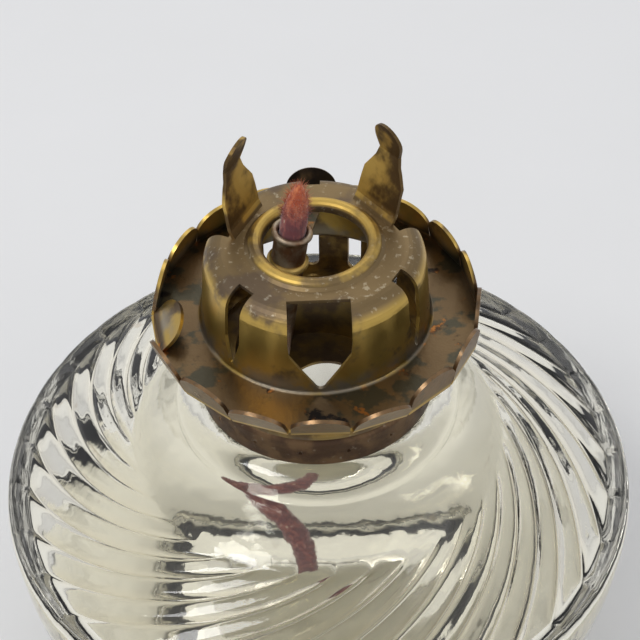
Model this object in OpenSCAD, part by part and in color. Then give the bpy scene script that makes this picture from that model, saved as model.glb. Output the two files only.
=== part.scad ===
// Miniature oil lamp: a squat pressed-glass font with a brass screw collar, and a small
// stamped burner with a petalled chimney gallery, two spring prongs and a round wick.
// Z is up and the lamp's axis is the Z axis. Z = 0 is the plane that the foot stands on.
// The front of the lamp, with the prongless air window, faces -Y.

/* [Glass font] */
// Radius of the font at its widest circle
font_r = 37.5; // [34:0.5:42]
// Height of the widest circle above the table
font_wide_z = 32; // [28:0.5:40]
// Width of the thick rolled edge round the widest circle
edge_w = 2.4; // [1.6:0.1:3.2]
// Rise of the ribbed shoulder from the edge to the smooth throat
shoulder_h = 7.9; // [6:0.1:10]
// Radius where the ribbed shoulder meets the smooth throat
throat_r = 20.6; // [19:0.1:23]
// Rise of the smooth throat up to the neck ring
throat_h = 4.7; // [3.5:0.1:6]
// Radius of the rounded neck ring, seen in section
neck_round = 3; // [2.4:0.1:4]
// Thickness of the glass wall
glass_wall = 3; // [2:0.1:4]
// Outer radius of the foot ring
foot_r = 26; // [22:0.5:30]
// Width of the foot ring's flat face
foot_w = 4; // [3:0.5:6]
// Depth of the hollow under the font, inside the foot ring
foot_hollow = 1.2; // [0.6:0.1:1.6]
// Height of the glass peg that the collar is plastered on
peg_h = 2.7; // [2:0.1:3]
// Thickness of the plaster between the glass peg and the collar's skirt
cement_out = 0.6; // [0.4:0.1:0.9]

/* [Collar] */
// Outer radius of the collar's skirt
collar_r = 13.4; // [13.2:0.1:15]
// Height of the collar above the neck ring
collar_h = 3.7; // [3.6:0.1:5]
// Bore radius of the collar's threaded sleeve
sleeve_bore_r = 9.6; // [9:0.1:10]
// Length of the threaded sleeve
sleeve_len = 6; // [4:0.1:7]
// Number of pricked keys round the skirt
key_count = 16; // [8:1:24]
// Radius of a pricked key at the surface
key_r = 0.3; // [0.2:0.05:0.5]
// Height of the pricked keys above the neck ring
key_up = 1.7; // [1:0.1:2.4]

/* [Burner base] */
// Sheet thickness of the brass stampings
sheet = 0.4; // [0.3:0.05:0.5]
// Radial clearance of the screw thimble in the sleeve
screw_gap = 0.08; // [0.05:0.01:0.1]
// Depth of the screw thimble below its flange
thimble_depth = 7; // [5:0.1:8]
// Step from the collar's skirt in to the air drum
drum_inset = 0.2; // [0.1:0.05:0.5]
// Height of the air drum
drum_h = 5.9; // [5.3:0.1:7]
// Number of air notches in the drum
notch_count = 16; // [8:1:18]
// Width of an air notch
notch_w = 1.6; // [1:0.1:2]
// Height of an air notch
notch_h = 4.8; // [3:0.1:4.8]
// Radius of the vent hole in the thimble's floor
vent_r = 4.4; // [3:0.1:4.6]
// Least metal between the vent hole and the wick tube's hole
vent_web = 0.6; // [0.4:0.1:1]

/* [Crown] */
// Radius of the flame hole
flame_hole_r = 5.55; // [5:0.05:6]
// Width of the raised bead round the flame hole
bead_w = 1.6; // [1:0.1:2]
// Height of the top plate above the gallery floor
crown_h = 9.6; // [8:0.1:11]
// Step from the air drum in to the foot of the crown's wall
crown_inset = 0.7; // [0.6:0.1:1]
// How far the crown's shoulder draws in from the foot of its wall
shoulder_inset = 0.6; // [0.4:0.1:1]
// Radius of the round between the top plate and the wall
crown_round = 2.4; // [1.5:0.1:3]
// Width of the gallery floor from the crown's wall to the petals
gallery_w = 5.3; // [4.8:0.1:6.5]
// Width of a wide air window at the top plate
window_w = 6.4; // [5:0.1:7]
// How far a wide window's top edge lies inside the shoulder
window_inset = 3.3; // [2.9:0.1:3.7]
// Height of a window's lower point above the gallery floor
window_sill = 0.6; // [0.6:0.1:2]
// Height of a wide window's tapering lower part
window_taper_h = 4; // [3:0.1:5]
// Width of a narrow air window
slit_w = 2.1; // [1.4:0.1:2.6]
// How far a narrow window's top end lies inside the shoulder
slit_inset = 2.2; // [1.7:0.1:2.7]
// Height of a narrow window's tapering lower part
slit_taper_h = 3.2; // [2:0.1:4]
// Angle of the front window about the axis
window_turn = 272; // [266:1:278]

/* [Petals and prongs] */
// Number of petals round the gallery
petal_count = 18; // [14:1:20]
// Height of a petal above the gallery floor
petal_h = 4.6; // [3.6:0.1:6]
// Gap between two petals at the fold
petal_gap = 0.3; // [0.2:0.05:0.6]
// Height of a prong above the top plate
prong_h = 10.8; // [8:0.1:13]
// Width of a prong at its base
prong_w = 6.2; // [5:0.1:6.4]
// Width of a prong at its neck
prong_neck_w = 3; // [2:0.1:3.6]
// Width of a prong's rounded end
prong_knob_w = 3.9; // [3.2:0.1:4.4]

/* [Wick and tube] */
// Outer radius of the wick tube
tube_r = 1.85; // [1.6:0.05:2]
// Wall of the wick tube
tube_wall = 0.3; // [0.2:0.05:0.4]
// Height of the wick tube's lip above the top plate
tube_above = 0.6; // [0:0.1:1.5]
// Sideways place of the wick tube at its lip
tube_top_x = -2.3; // [-2.6:0.1:-2.2]
// Place of the wick tube from front to back
tube_y = 1.6; // [1:0.1:1.8]
// Angle that the wick tube leans from the vertical, in degrees
tube_lean = 8; // [7:0.5:9]
// Length of the tube below the thimble's floor
tube_tail = 2.4; // [1:0.1:4]
// Distance of the tube's brass band below its lip
band_down = 4.4; // [2:0.1:6]
// Half height of the rounded brass band
band_r = 0.45; // [0.3:0.05:0.6]
// Height of the solder ferrule on the thimble's floor
ferrule_h = 1.2; // [0.6:0.1:2]
// Width of the solder ferrule round the tube
ferrule_w = 0.7; // [0.4:0.1:1]
// Radial clearance of the wick in its tube
wick_gap = 0.05; // [0.03:0.01:0.1]
// Height of the wick's head above the tube
wick_head = 6.2; // [5:0.1:9]
// Length of the wick's head that can slide down into the tube
wick_straight = 2.3; // [2.1:0.1:3]

/* [Hidden] */
$fn = 96;

// Gap that the burner's flange keeps above the collar's rolled top
joint_gap = 0.05;

// Levels up the lamp
throat_z = font_wide_z + shoulder_h;
neck_z = throat_z + throat_h;
collar_z = neck_z + neck_round;
collar_top = collar_z + collar_h;
sleeve_z = collar_top - sleeve_len;
peg_top = collar_z + peg_h;
flange_z = collar_top + joint_gap;
thimble_z = flange_z + sheet - thimble_depth;
drum_z = flange_z + sheet;
dish_z = drum_z + drum_h;
dish_top = dish_z + sheet;
plate_top = dish_top + crown_h;

// Radii that fit each other
cement_gap = 0.5;
sleeve_out_r = sleeve_bore_r + sheet;
peg_bore_r = sleeve_out_r + cement_gap;
peg_r = collar_r - sheet - cement_out;
thimble_r = sleeve_bore_r - screw_gap;
drum_r = collar_r - drum_inset;
flange_r = drum_r;
crown_r = drum_r - crown_inset;
shoulder_r = crown_r - shoulder_inset;
gallery_r = crown_r + gallery_w;
window_in = shoulder_r - window_inset;
slit_in = shoulder_r - slit_inset;
wick_r = tube_r - tube_wall - wick_gap;

// Points along a round stretch of an outline
function arc(cx, cz, r, a0, a1, n) =
    [for (i = [0:n]) let (a = a0 + (a1 - a0) * i / n) [cx + r * cos(a), cz + r * sin(a)]];

// Glass font: thick pressed glass, hollow, with a plain peg on top for the collar
edge_round = edge_w / 2;
edge_rise = 0.5;
foot_round = 0.8;
waist_in = 0.6;
waist_z = 3.4;
shoulder_step = [1, 0.9];

// The side swells from the waist above the foot to the edge along part of an ellipse
// whose centre lies inside the foot's radius, a little below the widest circle
side_in = 4;
side_down = 1;
side_r = font_r - foot_r + side_in;
side_h = font_wide_z - side_down - waist_z - 0.6;

function side_curve(inset, a0, a1) = [
    for (i = [0:10])
        let (a = a0 + (a1 - a0) * i / 10)
            [foot_r - side_in + (side_r - inset) * cos(a),
             font_wide_z - side_down + (side_h - inset) * sin(a)]
];

function font_outside() = concat(
    [[foot_r - foot_w, foot_hollow], [foot_r - foot_w, 0]],
    arc(foot_r - foot_round, foot_round, foot_round, -90, 0, 4),
    [[foot_r, 2 * foot_round], [foot_r - waist_in, waist_z]],
    side_curve(0, -78, -4),
    arc(font_r - edge_round, font_wide_z - 0.4, edge_round, 0, 90, 6),
    [[font_r - edge_w, font_wide_z + edge_rise]],
    [[throat_r + shoulder_step[0], throat_z - shoulder_step[1]], [throat_r, throat_z]],
    arc(collar_r, neck_z, neck_round, -12, 90, 10),
    [[peg_r, collar_z], [peg_r, peg_top], [peg_bore_r, peg_top]]
);

// Inside, the bore widens below the sleeve into the shoulder's underside
bore_end = sleeve_z - 1.2;
bore_flare = 2.2;
inner_floor = foot_hollow + glass_wall;
inner_edge_r = font_r - edge_w - glass_wall / 2;
inner_shoulder_z = font_wide_z + edge_rise - glass_wall;

function font_inside() = concat(
    [[peg_bore_r, bore_end], [peg_bore_r + bore_flare, throat_z + 1.2]],
    [[throat_r - 0.9 * glass_wall, throat_z - 0.9 * glass_wall]],
    [[inner_edge_r - 1, inner_shoulder_z]],
    side_curve(glass_wall, -12, -72),
    [[foot_r - 9, inner_floor], [0, inner_floor], [0, foot_hollow]]
);

module glass_font() {
    color([0.93, 0.92, 0.84, 0.45])
        rotate_extrude()
            polygon(concat(font_outside(), font_inside()));
}

// Plaster between the glass peg and the collar
module cement_ring() {
    color("gainsboro")
        rotate_extrude()
            polygon([
                [sleeve_out_r, sleeve_z], [peg_bore_r, sleeve_z],
                [peg_bore_r, peg_top], [peg_r, peg_top],
                [peg_r, collar_z], [collar_r - sheet, collar_z],
                [collar_r - sheet, collar_top - sheet], [sleeve_out_r, collar_top - sheet]
            ]);
}

// Collar: pricked skirt outside, rolled top, threaded sleeve inside
roll_r = 0.7;
// Angle of the first key before the front window, which brings one key to the front
key_turn = window_turn - 10;

module threaded_collar() {
    color([0.3, 0.2, 0.1])
        difference() {
            rotate_extrude()
                polygon(concat(
                    [[sleeve_bore_r, sleeve_z], [sleeve_out_r, sleeve_z]],
                    [[sleeve_out_r, collar_top - sheet], [collar_r - sheet, collar_top - sheet]],
                    [[collar_r - sheet, collar_z], [collar_r, collar_z]],
                    arc(collar_r - roll_r, collar_top - roll_r, roll_r, 0, 90, 6),
                    arc(sleeve_bore_r + roll_r, collar_top - roll_r, roll_r, 90, 180, 6)
                ));
            for (i = [0:key_count - 1])
                rotate([0, 0, key_turn + 360 / key_count * i])
                    translate([collar_r - sheet * 0.7, 0, collar_z + key_up])
                        rotate([0, 90, 0])
                            cylinder(h = sheet, r1 = key_r / 3, r2 = key_r, $fn = 24);
        }
}

// What stands along the wick tube is drawn in the tube's own leaning frame,
// whose origin is on the tube's axis at its lip
tube_top_z = plate_top + tube_above;

module along_tube() {
    translate([tube_top_x, tube_y, tube_top_z])
        rotate([0, tube_lean, 0])
            children();
}

// Distance along the leaning tube from its lip to a level of the lamp
function down_tube(z) = (z - tube_top_z) / cos(tube_lean);

// The vent hole lies beside the tube's hole in the thimble's floor
tube_floor_x = tube_top_x - (tube_top_z - thimble_z) * tan(tube_lean);
hole_apart = tube_r / cos(tube_lean) + vent_web + vent_r;
vent_x = tube_floor_x + sqrt(hole_apart * hole_apart - tube_y * tube_y);

// Screw thimble: flanged cup with a vent hole and the wick tube's hole in its floor
module screw_thimble() {
    color([0.45, 0.35, 0.15])
        difference() {
            rotate_extrude()
                polygon([
                    [0, thimble_z], [thimble_r, thimble_z],
                    [thimble_r, flange_z], [flange_r, flange_z],
                    [flange_r, flange_z + sheet], [thimble_r - sheet, flange_z + sheet],
                    [thimble_r - sheet, thimble_z + sheet], [0, thimble_z + sheet]
                ]);
            translate([vent_x, 0, thimble_z - 1])
                cylinder(h = sheet + 2, r = vent_r);
            along_tube()
                translate([0, 0, down_tube(thimble_z) - 2])
                    cylinder(h = 4, r = tube_r);
        }
}

// Air drum: open ring with rounded notches cut down from its top edge
drum_foot_w = 1.6;
notch_turn = 91.5;

module air_drum() {
    foot_in = drum_r - drum_foot_w;
    color([0.4, 0.3, 0.14])
        difference() {
            rotate_extrude()
                polygon([
                    [foot_in, drum_z], [drum_r, drum_z],
                    [drum_r, dish_z], [drum_r - sheet, dish_z],
                    [drum_r - sheet, drum_z + sheet], [foot_in, drum_z + sheet]
                ]);
            for (i = [0:notch_count - 1])
                rotate([0, 0, notch_turn + 360 / notch_count * i])
                    air_notch();
        }
}

module air_notch() {
    translate([drum_r - sheet - 0.5, 0, dish_z - notch_h + notch_w / 2])
        rotate([0, 90, 0])
            cylinder(h = sheet + 1, r = notch_w / 2, $fn = 32);
    translate([drum_r - sheet - 0.5, -notch_w / 2, dish_z - notch_h + notch_w / 2])
        cube([sheet + 1, notch_w, notch_h]);
}

// Crown: one brass stamping with the flame hole, six straps, the gallery and its petals
bead_r = bead_w / 2;
bead_run = 0.3;
fold_round = 0.45;
// The gallery floor ends just inside the petals' outer faces
floor_r = gallery_r - 0.05;

function crown_outside() = concat(
    arc(flame_hole_r + bead_r, plate_top, bead_r, 180, 20, 8),
    [[flame_hole_r + bead_w + bead_run, plate_top]],
    arc(shoulder_r - crown_round, plate_top - crown_round, crown_round, 90, 8, 8),
    arc(crown_r + fold_round, dish_top + fold_round, fold_round, 180, 270, 5),
    [[floor_r, dish_top], [floor_r, dish_z]]
);

function crown_inside() = concat(
    arc(crown_r + fold_round, dish_top + fold_round, fold_round + sheet, 270, 180, 5),
    arc(shoulder_r - crown_round, plate_top - crown_round, crown_round - sheet, 8, 90, 8),
    [[flame_hole_r, plate_top - sheet]]
);

module crown_shell() {
    rotate_extrude()
        polygon(concat(crown_outside(), crown_inside()));
}

// Outline of a window seen from outside, its rounded lower point at the origin: it
// widens up to the end of its taper, and is a little wider again at the shoulder
flare_ratio = 1.04;
flare_h = 1.6;

module window_outline(width, point_r, taper_h) {
    side = [
        [width / 2, taper_h],
        [width / 2 * flare_ratio, taper_h + flare_h],
        [width / 2, crown_h + 2]
    ];
    polygon(concat(
        arc(0, point_r, point_r, 200, 340, 8),
        side,
        [for (i = [2:-1:0]) [-side[i][0], side[i][1]]]
    ));
}

// A window is cut outwards from a plane at a distance from the axis
module window_cut(inset, width, point_r, taper_h) {
    translate([inset, 0, dish_top + window_sill])
        rotate([90, 0, 90])
            linear_extrude(gallery_r - inset - 2)
                window_outline(width, point_r, taper_h);
}

// The narrow windows beside the front one stand a little nearer to it
window_point = 0.6;
slit_point = 0.25;
slit_turns = [-48, 57, 180];

module crown_windows() {
    for (i = [0:2])
        rotate([0, 0, window_turn + 120 * i])
            window_cut(window_in, window_w, window_point, window_taper_h);
    for (turn = slit_turns)
        rotate([0, 0, window_turn + turn])
            window_cut(slit_in, slit_w, slit_point, slit_taper_h);
}

// How far each petal leans outwards, in degrees, counter-clockwise from the first one
// right of the back; the front ones and the back one have been splayed by handling
petal_lean = [-12, -12, 32, -13, -13, -13, -11, -42, 17, 19, 28, 28, 28, 12, 8, 0, -8, -11];
first_petal_turn = 51;
petal_round_ratio = 0.8;

module petal() {
    w = 2 * gallery_r * tan(180 / petal_count) - petal_gap;
    top_r = w / 2;
    top_z = petal_h - top_r * petal_round_ratio;
    rotate([90, 0, 90])
        translate([0, 0, -sheet])
            linear_extrude(sheet)
                union() {
                    translate([-w / 2, 0])
                        square([w, top_z]);
                    translate([0, top_z])
                        intersection() {
                            scale([1, petal_round_ratio])
                                circle(r = top_r, $fn = 48);
                            translate([-w, 0])
                                square([2 * w, w]);
                        }
                }
}

module petals() {
    for (i = [0:petal_count - 1])
        rotate([0, 0, first_petal_turn + 360 / petal_count * i])
            translate([gallery_r, 0, dish_z])
                rotate([0, petal_lean[i % len(petal_lean)], 0])
                    petal();
}

// A prong is folded up from the top edge of its window. Its side view curves out and
// back in: each point is given outwards from that edge and upwards in prong heights
prong_root = 0.6;

function prong_curve(off) = concat(
    [[window_in - prong_root - off, plate_top - sheet]],
    [
        for (p = [[0.01, 0.08], [0.05, 0.28], [0.11, 0.5], [0.14, 0.66], [0.1, 0.84], [0.05, 1]])
            [window_in + p[0] * prong_h - off, plate_top + p[1] * prong_h]
    ]
);

// Its front view is widest low down and narrows to a neck below the rounded end
function half_front(side) = concat(
    [for (p = [[1, 0], [1, 0.2], [0.96, 0.42]]) [side * p[0] * prong_w / 2, p[1] * prong_h]],
    [for (p = [[1.2, 0.6], [1, 0.7]]) [side * p[0] * prong_neck_w / 2, p[1] * prong_h]]
);

function reversed(list) = [for (i = [len(list) - 1:-1:0]) list[i]];

module prong_side() {
    rotate([90, 0, 0])
        linear_extrude(prong_w + 2, center = true)
            polygon(concat(prong_curve(0), reversed(prong_curve(sheet))));
}

module prong_front() {
    knob_r = prong_knob_w / 2;
    translate([window_in - 2, 0, plate_top - sheet])
        rotate([90, 0, 90])
            linear_extrude(6)
                polygon(concat(
                    half_front(1),
                    arc(0, prong_h + sheet - knob_r, knob_r, -20, 200, 16),
                    reversed(half_front(-1))
                ));
}

module prong() {
    intersection() {
        prong_side();
        prong_front();
    }
}

// The two windows away from the front keep their prongs, each a little off centre
// and bent by its own angle about its fold
prong_turns = [126, 241];
prong_bends = [3, -3];

module prongs() {
    for (i = [0:1])
        rotate([0, 0, window_turn + prong_turns[i]])
            translate([window_in, 0, plate_top])
                rotate([0, prong_bends[i], 0])
                    translate([-window_in, 0, -plate_top])
                        prong();
}

module gallery_crown() {
    color([0.55, 0.42, 0.16])
        union() {
            difference() {
                crown_shell();
                crown_windows();
            }
            petals();
            prongs();
        }
}

// Wick tube: a leaning brass tube through the thimble's floor, with a rolled lip on top
lip_r = 0.35;
tube_foot = down_tube(thimble_z) - tube_tail;

module wick_tube() {
    color([0.6, 0.45, 0.2])
        along_tube()
            rotate_extrude()
                polygon(concat(
                    [[tube_r - tube_wall, tube_foot], [tube_r, tube_foot]],
                    [[tube_r, -3 * lip_r]],
                    arc(tube_r - tube_wall + lip_r, -lip_r, lip_r, -60, 150, 10),
                    [[tube_r - tube_wall, -lip_r]]
                ));
}

// Rounded brass band pushed on the tube below its lip
module tube_band() {
    color("goldenrod")
        along_tube()
            rotate_extrude()
                polygon(concat(
                    [[tube_r, -band_down - band_r], [tube_r, -band_down + band_r]],
                    arc(tube_r, -band_down, band_r, 90, -90, 10)
                ));
}

// Solder ferrule where the tube stands on the thimble's floor
module tube_ferrule() {
    color("darkgoldenrod")
        intersection() {
            along_tube()
                translate([0, 0, down_tube(thimble_z + sheet) - 1])
                    difference() {
                        cylinder(h = ferrule_h + 1, r = tube_r + ferrule_w);
                        translate([0, 0, -1])
                            cylinder(h = ferrule_h + 3, r = tube_r);
                    }
            translate([-thimble_r, -thimble_r, thimble_z + sheet])
                cube([2 * thimble_r, 2 * thimble_r, thimble_depth]);
        }
}

// Wick: straight in its tube, with a head that swells above its straight part and
// comes to a point
wick_swell = 0.15;

module wick() {
    color([0.55, 0.15, 0.1])
        along_tube()
            rotate_extrude()
                polygon([
                    [0, tube_foot], [wick_r, tube_foot],
                    [wick_r, wick_straight], [wick_r + wick_swell, wick_straight + 0.8],
                    [wick_r * 0.9, wick_head * 0.75],
                    [wick_r * 0.5, wick_head * 0.93], [0, wick_head]
                ]);
}

// Loose end of the wick, hanging from the tube's foot into the font. It starts along
// the leaning tube, so that the wick can be drawn up, and then hangs and bends
foot_x = tube_top_x + tube_foot * sin(tube_lean);
foot_z = tube_top_z + tube_foot * cos(tube_lean);
tail_steps = [
    [0, 0, 0], [-0.3, 0, -2.1], [-0.6, 0, -4.3], [-0.7, -0.1, -6.4], [-0.3, -0.4, -8.7],
    [0.6, -0.9, -11], [1.8, -1.5, -13.3], [2.9, -2.1, -15.7], [3.7, -2.6, -18.3],
    [4.2, -2.9, -21], [4.4, -3, -24], [4.4, -3, -27], [4.3, -2.9, -30]
];
tail_points = [for (step = tail_steps) [foot_x, tube_y, foot_z] + step];
tail_sides = 8;

function unit(v) = v / norm(v);
function heading(p, i) = unit(p[min(i + 1, len(p) - 1)] - p[max(i - 1, 0)]);
function ring_at(c, d, r, n) =
    let (u = unit(cross([0, 1, 0], d)), v = cross(d, u))
        [for (k = [0:n - 1]) c + r * cos(360 * k / n) * u + r * sin(360 * k / n) * v];
function first_heading() = [-sin(tube_lean), 0, -cos(tube_lean)];

module swept_tube(p, r, n) {
    last = len(p) - 1;
    points = [
        for (i = [0:last])
            each ring_at(p[i], i == 0 ? first_heading() : heading(p, i), r, n)
    ];
    sides = [
        for (i = [0:last - 1], k = [0:n - 1])
            let (a = i * n + k, b = i * n + (k + 1) % n)
                each [[a, b, b + n], [a, b + n, a + n]]
    ];
    start_cap = [for (k = [1:n - 2]) [0, k + 1, k]];
    end_cap = [for (k = [1:n - 2]) [last * n, last * n + k, last * n + k + 1]];
    polyhedron(points, concat(sides, start_cap, end_cap));
}

module wick_tail() {
    color([0.45, 0.16, 0.2])
        swept_tube(tail_points, wick_r, tail_sides);
}

glass_font();
cement_ring();
threaded_collar();
screw_thimble();
air_drum();
gallery_crown();
wick_tube();
tube_band();
tube_ferrule();
wick();
wick_tail();
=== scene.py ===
# Miniature oil lamp: the looks of its glass, brass and wick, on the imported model's frame.
# Sizes are real ones in millimetres until a mesh is made, and Blender works in metres.
import math

import bpy
from mathutils import Matrix, Vector


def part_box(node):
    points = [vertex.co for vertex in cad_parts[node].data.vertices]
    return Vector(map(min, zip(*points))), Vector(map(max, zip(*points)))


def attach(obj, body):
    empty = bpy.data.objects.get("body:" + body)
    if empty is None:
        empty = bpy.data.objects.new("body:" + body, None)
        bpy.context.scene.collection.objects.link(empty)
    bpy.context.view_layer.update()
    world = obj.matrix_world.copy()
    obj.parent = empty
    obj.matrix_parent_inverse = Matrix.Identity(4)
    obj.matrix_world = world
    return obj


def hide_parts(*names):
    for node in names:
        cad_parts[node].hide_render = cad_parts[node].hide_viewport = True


MM = 0.001

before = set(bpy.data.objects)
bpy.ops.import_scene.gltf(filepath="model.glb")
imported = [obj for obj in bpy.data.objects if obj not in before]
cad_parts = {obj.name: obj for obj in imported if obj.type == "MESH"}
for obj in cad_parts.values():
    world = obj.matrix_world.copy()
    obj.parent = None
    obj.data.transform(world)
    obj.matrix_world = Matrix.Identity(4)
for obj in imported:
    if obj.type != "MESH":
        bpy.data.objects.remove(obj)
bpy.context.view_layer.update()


# Node trees

class Wire:
    """An output socket that takes part in sums as a number does."""

    def __init__(self, tree, socket):
        self.tree = tree
        self.socket = socket

    def math(self, operation, a, b=0.0):
        return self.tree.add("ShaderNodeMath", {"operation": operation}, {0: a, 1: b})

    def __add__(self, other):
        return self.math("ADD", self, other)

    def __radd__(self, other):
        return self.math("ADD", other, self)

    def __sub__(self, other):
        return self.math("SUBTRACT", self, other)

    def __rsub__(self, other):
        return self.math("SUBTRACT", other, self)

    def __mul__(self, other):
        return self.math("MULTIPLY", self, other)

    def __rmul__(self, other):
        return self.math("MULTIPLY", other, self)

    def __truediv__(self, other):
        return self.math("DIVIDE", self, other)

    def __rtruediv__(self, other):
        return self.math("DIVIDE", other, self)

    def sine(self):
        return self.math("SINE", self)

    def size(self):
        return self.math("ABSOLUTE", self)

    def rise(self, start, end):
        """0 below start and 1 above end, with a soft step between them."""
        return self.tree.add(
            "ShaderNodeMapRange",
            {"interpolation_type": "SMOOTHSTEP"},
            {0: self, 1: start, 2: end, 3: 0.0, 4: 1.0},
        )


class Tree:
    """A node tree in the making, of a material or of Geometry Nodes."""

    def __init__(self, tree):
        self.tree = tree

    def add(self, kind, settings=None, inputs=None, output=0):
        node = self.tree.nodes.new(kind)
        for name, value in (settings or {}).items():
            setattr(node, name, value)
        for key, value in (inputs or {}).items():
            if isinstance(value, Wire):
                self.tree.links.new(value.socket, node.inputs[key])
            else:
                node.inputs[key].default_value = value
        return Wire(self, node.outputs[output]) if node.outputs else node


class Finish(Tree):
    """A material in the making, with the lamp's own coordinates at hand."""

    def __init__(self, name):
        self.material = bpy.data.materials.new(name)
        self.material.use_nodes = True
        self.material.node_tree.nodes.clear()
        super().__init__(self.material.node_tree)
        self.place = self.add("ShaderNodeTexCoord", output="Object")
        self.z = self.part(self.place, "Z") / MM
        flat = self.add("ShaderNodeVectorMath", {"operation": "MULTIPLY"},
                        {0: self.place, 1: (1, 1, 0)})
        self.radius = self.add("ShaderNodeVectorMath", {"operation": "LENGTH"},
                               {0: flat}, "Value") / MM

    def part(self, vector, axis):
        return self.add("ShaderNodeSeparateXYZ", None, {0: vector}, axis)

    def stretched(self, x, y, z):
        return self.add("ShaderNodeMapping", None, {"Vector": self.place, "Scale": (x, y, z)})

    def cloud(self, size, detail=4.0, rough=0.55, where=None):
        """Soft noise whose patches are about size millimetres across."""
        return self.add("ShaderNodeTexNoise", None, {
            "Vector": where or self.place, "Scale": 1 / (size * MM),
            "Detail": detail, "Roughness": rough,
        })

    def blend(self, share, first, second):
        inputs = {0: share}
        for key, colour in ((6, first), (7, second)):
            inputs[key] = colour if isinstance(colour, Wire) else (*colour, 1)
        return self.add("ShaderNodeMix", {"data_type": "RGBA"}, inputs, 2)

    def outward(self):
        """1 where a face looks away from the lamp's axis and -1 where it looks at it."""
        flat = self.add("ShaderNodeVectorMath", {"operation": "MULTIPLY"},
                        {0: self.place, 1: (1, 1, 0)})
        ray = self.add("ShaderNodeVectorMath", {"operation": "NORMALIZE"}, {0: flat})
        face = self.add("ShaderNodeNewGeometry", output="Normal")
        return self.add("ShaderNodeVectorMath", {"operation": "DOT_PRODUCT"},
                        {0: face, 1: ray}, "Value")

    def done(self, colour, roughness, metallic=0.0, height=None, depth=0.05, **uniform):
        inputs = {"Base Color": colour, "Roughness": roughness, "Metallic": metallic}
        for name, value in uniform.items():
            inputs[name.replace("_", " ")] = value
        if height is not None:
            inputs["Normal"] = self.add("ShaderNodeBump", None, {
                "Strength": 0.8, "Distance": depth * MM, "Height": height,
            })
        surface = self.add("ShaderNodeBsdfPrincipled", None, inputs)
        self.add("ShaderNodeOutputMaterial", None, {"Surface": surface})
        return self.material


# Finishes

STRAP_GOLD = (0.58, 0.39, 0.10)
DUSTY_BROWN = (0.155, 0.11, 0.068)
PALE_DUST = (0.36, 0.31, 0.23)
FLOOR_BROWN = (0.13, 0.085, 0.042)
VERDIGRIS = (0.062, 0.055, 0.036)
# Soot-dark: real soot stains on the gallery floor, and the painted shade on the petals' inward
# faces.
SOOT_AND_SHADE = (0.018, 0.014, 0.012)
RUST = (0.30, 0.12, 0.03)
PETAL_OUTSIDE = (0.23, 0.14, 0.07)
PRONG_BROWN = (0.12, 0.075, 0.03)
COLLAR_BROWN = (0.085, 0.05, 0.03)
TUBE_RED_BROWN = (0.19, 0.09, 0.04)
GLASS_CLEAR = (0.995, 0.97, 0.86)
# Deeper straw: painted shade in the rib hollows of the glass.
STRAW_HOLLOW_SHADE = (0.95, 0.87, 0.68)


def crown_finish(levels):
    f = Finish("crown_patina")
    patch = f.cloud(5.0)
    speck = f.cloud(0.7, 6.0)
    scratch = f.cloud(1.0, 3.0, where=f.stretched(1, 1, 0.12))
    wall = f.blend(patch.rise(0.52, 0.66), STRAP_GOLD, DUSTY_BROWN)
    foot = (levels["plate"] - f.z).rise(levels["crown"] - 2.6, levels["crown"] - 0.6)
    wall = f.blend(foot * patch.rise(0.4, 0.55), wall, PALE_DUST)
    top = f.z.rise(levels["plate"] - 1.5, levels["plate"] - 0.5)
    dust = f.blend(speck.rise(0.58, 0.68), DUSTY_BROWN, PALE_DUST)
    colour = f.blend(top * 0.85, wall, dust)
    bead = f.z.rise(levels["plate"] + 0.25, levels["plate"] + 0.5)
    colour = f.blend(bead * patch.rise(0.35, 0.55), colour, STRAP_GOLD)
    prong = f.z.rise(levels["plate"] + 1, levels["plate"] + 1.6)
    colour = f.blend(prong, colour, f.blend(patch.rise(0.45, 0.6), PRONG_BROWN, STRAP_GOLD))
    floor = f.radius.rise(levels["wall_r"] - 0.1, levels["wall_r"] + 0.5)
    floor = floor * (1 - f.z.rise(levels["floor"] + 0.3, levels["floor"] + 0.9))
    stain = f.blend(f.cloud(3.5).rise(0.52, 0.6), FLOOR_BROWN, VERDIGRIS)
    stain = f.blend(f.cloud(4.4, 5.0).rise(0.6, 0.66), stain, SOOT_AND_SHADE)
    stain = f.blend(f.cloud(2.2, 5.0).rise(0.62, 0.7), stain, RUST)
    colour = f.blend(floor, colour, stain)
    petal = f.radius.rise(levels["fold_r"] - 0.9, levels["fold_r"] - 0.4)
    petal = petal * f.z.rise(levels["floor"] + 0.2, levels["floor"] + 0.6)
    # Petal faces that look towards the lamp's axis take a darker copy, soot-dark and floor
    # brown: painted shade. Faces that look away keep the petal's own browns.
    unshaded_side = f.outward().rise(-0.1, 0.1)
    inside = f.blend(patch.rise(0.5, 0.7), SOOT_AND_SHADE, FLOOR_BROWN)
    outside = f.blend(speck.rise(0.5, 0.66), PETAL_OUTSIDE, DUSTY_BROWN)
    colour = f.blend(petal, colour, f.blend(unshaded_side, inside, outside))
    fold = f.radius.rise(levels["fold_r"] - 0.15, levels["fold_r"])
    fold = fold * (1 - f.z.rise(levels["floor"], levels["floor"] + 0.5))
    colour = f.blend(fold, colour, STRAP_GOLD)
    rough = 0.2 + 0.26 * patch + 0.14 * top
    return f.done(colour, rough, 1.0 - 0.22 * patch, speck * 0.6 + scratch * 0.4, 0.06)


def brass_finish(name, bright, dull, metal=0.98, shine=0.22, grain=0.7):
    f = Finish(name)
    patch = f.cloud(3.2)
    speck = f.cloud(grain, 6.0)
    colour = f.blend(patch.rise(0.4, 0.62), bright, dull)
    colour = f.blend(speck.rise(0.62, 0.74) * 0.5, colour, PALE_DUST)
    return f.done(colour, shine + 0.35 * patch, metal - 0.3 * patch, speck, 0.05)


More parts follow.
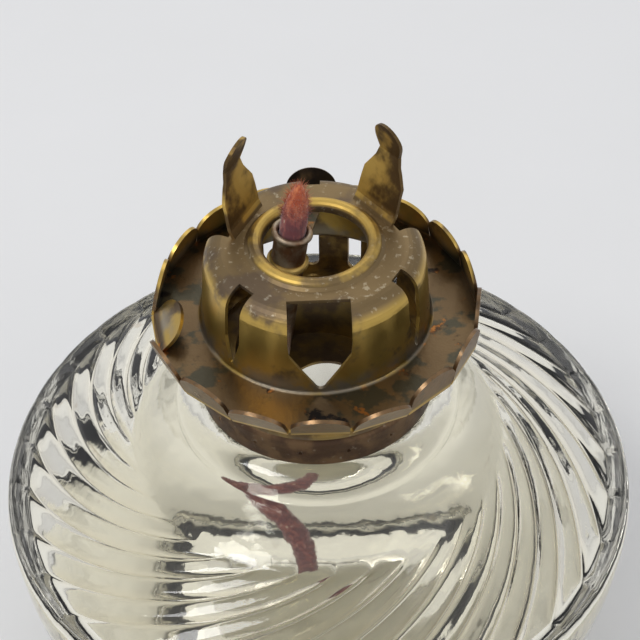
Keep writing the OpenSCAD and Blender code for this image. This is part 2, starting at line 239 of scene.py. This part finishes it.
def plaster_finish():
    f = Finish("lamp_plaster")
    patch = f.cloud(2.5)
    colour = f.blend(patch.rise(0.4, 0.7), (0.74, 0.69, 0.58), (0.5, 0.42, 0.3))
    return f.done(colour, 0.86 + 0.1 * patch, 0.0, f.cloud(0.4, 6.0), 0.08)


def glass_finish():
    f = Finish("pressed_glass")
    rib = f.add("ShaderNodeAttribute", {"attribute_name": "rib_hollow"}, output="Fac")
    stain = f.cloud(6.0, 6.0).rise(0.68, 0.74)
    # The rib hollows take a deeper straw tint: painted shade of the light through the thick
    # glass.
    tint = f.blend(rib * 0.85, GLASS_CLEAR, STRAW_HOLLOW_SHADE)
    tint = f.blend(stain * 0.6, tint, (0.5, 0.33, 0.18))
    wave = f.cloud(5.0, 2.0) * 0.8 + f.cloud(0.9, 3.0) * 0.08
    return f.done(tint, 0.05 + 0.08 * stain, 0.0, wave, 0.16,
                  Transmission_Weight=1.0, IOR=1.5)


def wick_finish(name, tip_z):
    f = Finish(name)
    thread = f.cloud(0.5, 5.0, where=f.stretched(1, 1, 0.35))
    low = f.blend(thread.rise(0.45, 0.6), (0.15, 0.03, 0.035), (0.28, 0.07, 0.06))
    low = f.blend(thread.rise(0.64, 0.7), low, (0.50, 0.34, 0.26))
    tip = f.blend(thread.rise(0.4, 0.65), (0.42, 0.085, 0.03), (0.62, 0.20, 0.08))
    colour = f.blend(f.z.rise(tip_z - 4.6, tip_z - 1.2), low, tip)
    return f.done(colour, 0.85 + 0.1 * thread, 0.0, thread, 0.12, Sheen_Weight=0.4)


def stage_finish():
    f = Finish("pale_table")
    grain = f.cloud(30.0)
    return f.done(f.blend(grain, (0.80, 0.80, 0.79), (0.83, 0.83, 0.825)), 0.6 + 0.1 * grain)


# Meshes

def mesh_piece(name, points, faces, material, smooth=True):
    mesh = bpy.data.meshes.new(name)
    mesh.from_pydata(points, [], faces)
    mesh.update()
    mesh.materials.append(material)
    mesh.polygons.foreach_set("use_smooth", [smooth] * len(mesh.polygons))
    piece = bpy.data.objects.new(name, mesh)
    bpy.context.scene.collection.objects.link(piece)
    return piece


def ring_faces(rings, sides, start=0):
    """Quads between rings of points, and between the last point of each ring and its first."""
    faces = []
    for i in range(rings - 1):
        for k in range(sides):
            a = start + i * sides + k
            b = start + i * sides + (k + 1) % sides
            faces.append((a, b, b + sides, a + sides))
    return faces


def grown(piece, tree, values, name):
    """The plain mesh that a Geometry Nodes tree makes of a piece, in the piece's place."""
    modifier = piece.modifiers.new("make", "NODES")
    modifier.node_group = tree
    for item in tree.interface.items_tree:
        if item.item_type == "SOCKET" and item.in_out == "INPUT" and item.name in values:
            modifier[item.identifier] = values[item.name]
    graph = bpy.context.evaluated_depsgraph_get()
    mesh = bpy.data.meshes.new_from_object(piece.evaluated_get(graph))
    piece.modifiers.remove(modifier)
    old = piece.data
    piece.data = mesh
    bpy.data.meshes.remove(old)
    mesh.name = name
    return piece


def geometry_tree(name, inputs):
    group = bpy.data.node_groups.new(name, "GeometryNodeTree")
    group.interface.new_socket("Geometry", in_out="INPUT", socket_type="NodeSocketGeometry")
    for title, kind in inputs.items():
        group.interface.new_socket(title, in_out="INPUT", socket_type=kind)
    group.interface.new_socket("Geometry", in_out="OUTPUT", socket_type="NodeSocketGeometry")
    tree = Tree(group)
    source = group.nodes.new("NodeGroupInput")
    given = {output.name: Wire(tree, output) for output in source.outputs if output.name}
    return tree, given


# Camera, worked out from the circles of the font, the gallery and the flame hole

CAMERA_AT = Vector((0.27, -117.54, 172.99)) * MM
CAMERA_DOWN = math.radians(44.79)
CAMERA_YAW = math.radians(0.09)
CAMERA_ROLL = math.radians(0.80)


def make_camera():
    ahead = Vector((
        math.sin(CAMERA_YAW) * math.cos(CAMERA_DOWN),
        math.cos(CAMERA_YAW) * math.cos(CAMERA_DOWN),
        -math.sin(CAMERA_DOWN),
    ))
    level = ahead.cross(Vector((0, 0, 1))).normalized()
    below = ahead.cross(level)
    right = math.cos(CAMERA_ROLL) * level + math.sin(CAMERA_ROLL) * below
    down = math.cos(CAMERA_ROLL) * below - math.sin(CAMERA_ROLL) * level
    data = bpy.data.cameras.new("camera")
    data.lens = 84.375
    data.sensor_width = 36.0
    data.clip_start = 0.01
    camera = bpy.data.objects.new("camera", data)
    turn = Matrix((right, -down, -ahead)).transposed()
    camera.matrix_world = Matrix.Translation(CAMERA_AT) @ turn.to_4x4()
    bpy.context.scene.collection.objects.link(camera)
    bpy.context.scene.camera = camera


# Wick: the tube leans, and the wick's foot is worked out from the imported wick's box

WICK_R = 1.5
TUBE_LEAN = math.radians(8)
TUBE_Y = 1.6
TAIL_STEPS = [
    (0, 0, 0), (-0.3, 0, -2.1), (-0.6, 0, -4.3), (-0.7, -0.1, -6.4), (-0.3, -0.4, -8.7),
    (0.6, -0.9, -11), (1.8, -1.5, -13.3), (2.9, -2.1, -15.7), (3.7, -2.6, -18.3),
    (4.2, -2.9, -21), (4.4, -3, -24), (4.4, -3, -27), (4.3, -2.9, -30),
]
PLAIT_PITCH = 2.4
TAIL_SIDES = 24
TAIL_RINGS_A_STEP = 10

wick_lo, wick_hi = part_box("wick")
wick_foot = Vector((
    wick_lo.x / MM + WICK_R * math.cos(TUBE_LEAN), TUBE_Y,
    wick_lo.z / MM + WICK_R * math.sin(TUBE_LEAN),
))
wick_axis = Vector((math.sin(TUBE_LEAN), 0, math.cos(TUBE_LEAN)))


def eased(points, i, t):
    """A point of the smooth line through the points, a share t of the way after point i."""
    a = points[max(i - 1, 0)]
    b = points[i]
    c = points[i + 1]
    d = points[min(i + 2, len(points) - 1)]
    return 0.5 * (2 * b + (c - a) * t + (2 * a - 5 * b + 4 * c - d) * t ** 2
                  + (3 * b - a - 3 * c + d) * t ** 3)


def plaited_tube(name, line, first_heading, radius_at, material):
    """A tube along a line of close points whose surface has a plait's bumps."""
    points = []
    aside = Vector((0, 1, 0))
    travelled = 0.0
    for i, centre in enumerate(line):
        heading = (line[min(i + 1, len(line) - 1)] - line[max(i - 1, 0)]).normalized()
        if i == 0:
            heading = first_heading
        else:
            travelled += (centre - line[i - 1]).length
        across = (aside - heading * aside.dot(heading)).normalized()
        third = heading.cross(across)
        for k in range(TAIL_SIDES):
            angle = 2 * math.pi * k / TAIL_SIDES
            phase = 2 * math.pi * travelled / PLAIT_PITCH
            bump = math.sin(4 * angle + phase) * math.sin(4 * angle - phase)
            r = radius_at(travelled) * (0.95 + 0.05 * bump)
            spot = centre + r * (math.cos(angle) * across + math.sin(angle) * third)
            points.append(spot * MM)
    faces = ring_faces(len(line), TAIL_SIDES)
    last = (len(line) - 1) * TAIL_SIDES
    faces.append(tuple(range(TAIL_SIDES))[::-1])
    faces.append(tuple(last + k for k in range(TAIL_SIDES)))
    return mesh_piece(name, points, faces, material)


def make_tail():
    points = [wick_foot + Vector(step) for step in TAIL_STEPS]
    line = []
    for i in range(len(points) - 1):
        for j in range(TAIL_RINGS_A_STEP):
            line.append(eased(points, i, j / TAIL_RINGS_A_STEP))
    line.append(points[-1])
    finish = wick_finish("tail_cotton", 1000)
    tail = plaited_tube("wick_tail_plaited", line, -wick_axis, lambda s: WICK_R, finish)
    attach(tail, "wick")
    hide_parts("wick_tail")


# Wick's head: a plaited core with loose fibres all over the part above the tube

HEAD_UP = 6.2
HEAD_STRAIGHT = 2.3


def fibre_tree(material):
    tree, given = geometry_tree("loose_fibres", {
        "Fibres a square metre": "NodeSocketFloat", "Fibre length": "NodeSocketFloat",
        "Fibre radius": "NodeSocketFloat", "Lip level": "NodeSocketFloat",
        "Seed": "NodeSocketInt",
    })
    place = tree.add("GeometryNodeInputPosition")
    height = tree.add("ShaderNodeSeparateXYZ", None, {0: place}, "Z")
    above = height.math("GREATER_THAN", height, given["Lip level"])
    spread = tree.tree.nodes.new("GeometryNodeDistributePointsOnFaces")
    tree.tree.links.new(given["Geometry"].socket, spread.inputs["Mesh"])
    tree.tree.links.new(above.socket, spread.inputs["Selection"])
    tree.tree.links.new(given["Fibres a square metre"].socket, spread.inputs["Density"])
    tree.tree.links.new(given["Seed"].socket, spread.inputs["Seed"])
    lift = tree.add("FunctionNodeRandomValue", {"data_type": "FLOAT_VECTOR"}, {
        0: (-0.8, -0.8, 0.2), 1: (0.8, 0.8, 1.6), "Seed": given["Seed"],
    })
    lean = tree.add("ShaderNodeVectorMath", {"operation": "ADD"},
                    {0: Wire(tree, spread.outputs["Normal"]), 1: lift})
    turn = tree.add("FunctionNodeAlignRotationToVector", {"axis": "Z"}, {"Vector": lean})
    fibre = tree.add("GeometryNodeMeshCone", None, {
        "Vertices": 3, "Radius Top": 0.0, "Radius Bottom": given["Fibre radius"],
        "Depth": given["Fibre length"],
    })
    scale = tree.add("FunctionNodeRandomValue", {"data_type": "FLOAT"},
                     {2: 0.35, 3: 1.0, "Seed": given["Seed"]}, 1)
    fibres = tree.add("GeometryNodeInstanceOnPoints", None, {
        "Points": Wire(tree, spread.outputs["Points"]), "Instance": fibre,
        "Rotation": turn, "Scale": scale,
    })
    joined = tree.tree.nodes.new("GeometryNodeJoinGeometry")
    tree.tree.links.new(given["Geometry"].socket, joined.inputs[0])
    tree.tree.links.new(fibres.socket, joined.inputs[0])
    whole = tree.add("GeometryNodeRealizeInstances", None, {0: Wire(tree, joined.outputs[0])})
    dyed = tree.add("GeometryNodeSetMaterial", None, {0: whole, "Material": material})
    tree.add("NodeGroupOutput", None, {0: dyed})
    return tree.tree


def make_wick():
    finish = wick_finish("head_cotton", wick_hi.z / MM)
    length = (wick_hi.z / MM - wick_foot.z) / math.cos(TUBE_LEAN)
    rings = 90

    def radius_at(s):
        left = length - s
        if left > HEAD_UP - HEAD_STRAIGHT:
            return WICK_R
        return WICK_R * math.sqrt(max(left / (HEAD_UP - HEAD_STRAIGHT), 0.004))

    line = [wick_foot + wick_axis * (length - 0.05) * i / (rings - 1) for i in range(rings)]
    wick = plaited_tube("wick_plaited", line, wick_axis, radius_at, finish)
    lip = wick_hi.z - HEAD_UP * math.cos(TUBE_LEAN) * MM
    grown(wick, fibre_tree(finish), {
        "Fibres a square metre": 2.4e7, "Fibre length": 1.1 * MM, "Fibre radius": 0.035 * MM,
        "Lip level": lip + HEAD_STRAIGHT * math.cos(TUBE_LEAN) * MM, "Seed": 4,
    }, "wick_plaited")
    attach(wick, "wick")
    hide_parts("wick")


# Glass font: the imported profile, with swirled ribs pressed in its shoulder

FOOT_R = 26.0
FOOT_W = 4.0
FOOT_HOLLOW = 1.2
FOOT_ROUND = 0.8
WIDE_Z = 32.0
EDGE_W = 2.4
SHOULDER_H = 7.9
THROAT_R = 20.6
THROAT_H = 4.7
NECK_ROUND = 3.0
PEG_H = 2.7
COLLAR_R = 13.4
PEG_R = 12.4
PEG_BORE_R = 10.5
WALL = 3.0
BORE_END = 44.1
RIB_COUNT = 33
RIB_SIDES = 16
RIB_DEPTH = 0.42
RIM_SHARE = 0.3
RIB_ANGLE = math.radians(26)


def arc(cx, cz, r, first, last, steps):
    turns = [math.radians(first + (last - first) * i / steps) for i in range(steps + 1)]
    return [(cx + r * math.cos(a), cz + r * math.sin(a)) for a in turns]


def side_curve(font_r, inset, first, last):
    wide = font_r - FOOT_R + 4 - inset
    tall = WIDE_Z - 5 - inset
    turns = [math.radians(first + (last - first) * i / 16) for i in range(17)]
    return [(FOOT_R - 4 + wide * math.cos(a), WIDE_Z - 1 + tall * math.sin(a)) for a in turns]


def font_profile(font_r):
    throat_z = WIDE_Z + SHOULDER_H
    neck_z = throat_z + THROAT_H
    peg_top = neck_z + NECK_ROUND + PEG_H
    edge_r = EDGE_W / 2
    shoulder_in = (THROAT_R + 1, throat_z - 0.9)
    shoulder_out = (font_r - EDGE_W, WIDE_Z + 0.5)
    steps = 36
    shoulder = []
    for i in range(steps + 1):
        t = i / steps
        shoulder.append((shoulder_out[0] + (shoulder_in[0] - shoulder_out[0]) * t,
                         shoulder_out[1] + (shoulder_in[1] - shoulder_out[1]) * t))
    outside = [(0.4, FOOT_HOLLOW), (FOOT_R - FOOT_W, FOOT_HOLLOW), (FOOT_R - FOOT_W, 0)]
    outside += arc(FOOT_R - FOOT_ROUND, FOOT_ROUND, FOOT_ROUND, -90, 0, 4)
    outside += [(FOOT_R, 2 * FOOT_ROUND), (FOOT_R - 0.6, 3.4)]
    outside += side_curve(font_r, 0, -78, -4)
    outside += arc(font_r - edge_r, WIDE_Z - 0.4, edge_r, 0, 90, 8)
    outside += shoulder + [(THROAT_R, throat_z)]
    outside += arc(COLLAR_R, neck_z, NECK_ROUND, -12, 90, 12)
    outside += [(PEG_R, neck_z + NECK_ROUND), (PEG_R, peg_top), (PEG_BORE_R, peg_top)]
    inside = [(PEG_BORE_R, BORE_END), (PEG_BORE_R + 2.2, throat_z + 1.2)]
    inside += [(THROAT_R - 0.9 * WALL, throat_z - 0.9 * WALL)]
    inside += [(font_r - EDGE_W - WALL / 2 - 1, WIDE_Z + 0.5 - WALL)]
    inside += side_curve(font_r, WALL, -12, -72)
    inside += [(FOOT_R - 9, FOOT_HOLLOW + WALL), (0.4, FOOT_HOLLOW + WALL)]
    return outside + inside, shoulder


def rib_tree(material):
    tree, given = geometry_tree("swirled_ribs", {
        "Rib depth": "NodeSocketFloat", "Swirl": "NodeSocketFloat",
        "Ribs": "NodeSocketFloat",
    })
    named = {"data_type": "FLOAT"}
    swirl = tree.add("GeometryNodeInputNamedAttribute", named, {"Name": "swirl"})
    mask = tree.add("GeometryNodeInputNamedAttribute", named, {"Name": "rib_share"})
    column = tree.add("GeometryNodeInputNamedAttribute", named, {"Name": "column_turn"})
    hollow = 1 - (column * given["Ribs"] * 0.5).sine().size()
    lift = mask * given["Rib depth"] * (0.5 - hollow * hollow)
    place = tree.add("GeometryNodeInputPosition")
    turned = tree.add("ShaderNodeVectorRotate", {"rotation_type": "Z_AXIS"},
                      {"Vector": place, "Angle": swirl * given["Swirl"]})
    rise = tree.add("ShaderNodeCombineXYZ", None, {"Z": lift})
    raised = tree.add("ShaderNodeVectorMath", {"operation": "ADD"}, {0: turned, 1: rise})
    moved = tree.add("GeometryNodeSetPosition", None,
                     {"Geometry": given["Geometry"], "Position": raised})
    kept = tree.add("GeometryNodeStoreNamedAttribute", {"data_type": "FLOAT"},
                    {"Geometry": moved, "Name": "rib_hollow", "Value": mask * hollow})
    whole = tree.add("GeometryNodeRealizeInstances", None, {0: kept})
    glazed = tree.add("GeometryNodeSetMaterial", None, {0: whole, "Material": material})
    tree.add("NodeGroupOutput", None, {0: glazed})
    return tree.tree


def make_font():
    font_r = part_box("glass_font")[1].x / MM
    profile, shoulder = font_profile(font_r)
    sides = RIB_COUNT * RIB_SIDES
    points = []
    swirls = []
    shares = []
    columns = []
    swirl = 0.0
    widest = shoulder[0][0]
    for r, z in profile:
        share = 0.0
        if (r, z) in shoulder:
            swirl = math.log(widest / r)
            along = shoulder.index((r, z)) / (len(shoulder) - 1)
            share = min(1.0, RIM_SHARE + 10 * along, 10 * (1 - along))
        elif r > widest and z > WIDE_Z:
            share = RIM_SHARE
        for k in range(sides):
            turn = 2 * math.pi * k / sides
            points.append((r * MM * math.cos(turn), r * MM * math.sin(turn), z * MM))
            swirls.append(swirl)
            shares.append(share)
            columns.append(turn)
    faces = ring_faces(len(profile), sides)
    last = (len(profile) - 1) * sides
    faces.append(tuple(range(sides))[::-1])
    faces.append(tuple(last + k for k in range(sides)))
    finish = glass_finish()
    font = mesh_piece("font_pressed", points, faces, finish)
    for name, values in (("swirl", swirls), ("rib_share", shares), ("column_turn", columns)):
        layer = font.data.attributes.new(name, "FLOAT", "POINT")
        layer.data.foreach_set("value", values)
    grown(font, rib_tree(finish), {
        "Rib depth": RIB_DEPTH * MM, "Swirl": 1 / math.tan(RIB_ANGLE), "Ribs": RIB_COUNT,
    }, "font_pressed")
    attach(font, "lamp_base")
    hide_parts("glass_font")


# Packed metal nodes keep their meshes and take a finish

def dress(node, material):
    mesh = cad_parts[node].data
    mesh.materials.clear()
    mesh.materials.append(material)


def dress_metal():
    drum_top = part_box("air_drum")[1].z / MM
    floor = drum_top + 0.4
    crown = 9.6
    levels = {
        "floor": floor, "crown": crown, "plate": floor + crown,
        "wall_r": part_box("air_drum")[1].x / MM - 0.7, "fold_r": 17.8,
    }
    dress("gallery_crown", crown_finish(levels))
    dress("air_drum", brass_finish("drum_brass", (0.36, 0.24, 0.08), (0.14, 0.09, 0.045)))
    dress("screw_thimble", brass_finish("thimble_brass", (0.30, 0.21, 0.08), DUSTY_BROWN))
    dress("threaded_collar", brass_finish("collar_tarnish", COLLAR_BROWN, (0.17, 0.10, 0.05)))
    dress("wick_tube", brass_finish("tube_tarnish", TUBE_RED_BROWN, (0.40, 0.33, 0.24)))
    dress("tube_band", brass_finish("band_gold", (0.72, 0.50, 0.16), (0.5, 0.33, 0.1)))
    dress("tube_ferrule", brass_finish("solder_grey", (0.38, 0.34, 0.28), DUSTY_BROWN))
    dress("cement_ring", plaster_finish())


# Table, light and background

def make_stage():
    half = 12.0
    corners = [(-half, -half, 0), (half, -half, 0), (half, half, 0), (-half, half, 0)]
    table = mesh_piece("table", corners, [(0, 1, 2, 3)], stage_finish(), False)
    for name, place, width, power in (
        ("key", (-0.30, -0.22, 0.60), 0.24, 1.5),
        ("fill", (0.50, -0.30, 0.40), 0.40, 0.35),
        ("back", (0.05, 0.50, 0.45), 0.40, 0.5),
    ):
        data = bpy.data.lights.new(name, "AREA")
        data.shape = "SQUARE"
        data.size = width
        data.energy = power
        lamp = bpy.data.objects.new(name, data)
        lamp.location = place
        aim = Vector((0, 0, 0.045)) - Vector(place)
        lamp.rotation_euler = aim.to_track_quat("-Z", "Y").to_euler()
        bpy.context.scene.collection.objects.link(lamp)
    world = bpy.data.worlds.new("studio")
    world.use_nodes = True
    sky = world.node_tree.nodes["Background"]
    sky.inputs["Color"].default_value = (0.95, 0.96, 1.0, 1)
    sky.inputs["Strength"].default_value = 0.62
    bpy.context.scene.world = world


make_camera()
make_tail()
make_wick()
make_font()
dress_metal()
make_stage()

scene = bpy.context.scene
scene.render.engine = "CYCLES"
scene.cycles.samples = 96
scene.cycles.max_bounces = 16
scene.cycles.transmission_bounces = 14
scene.render.resolution_x = 640
scene.render.resolution_y = 640
scene.view_settings.view_transform = "Standard"
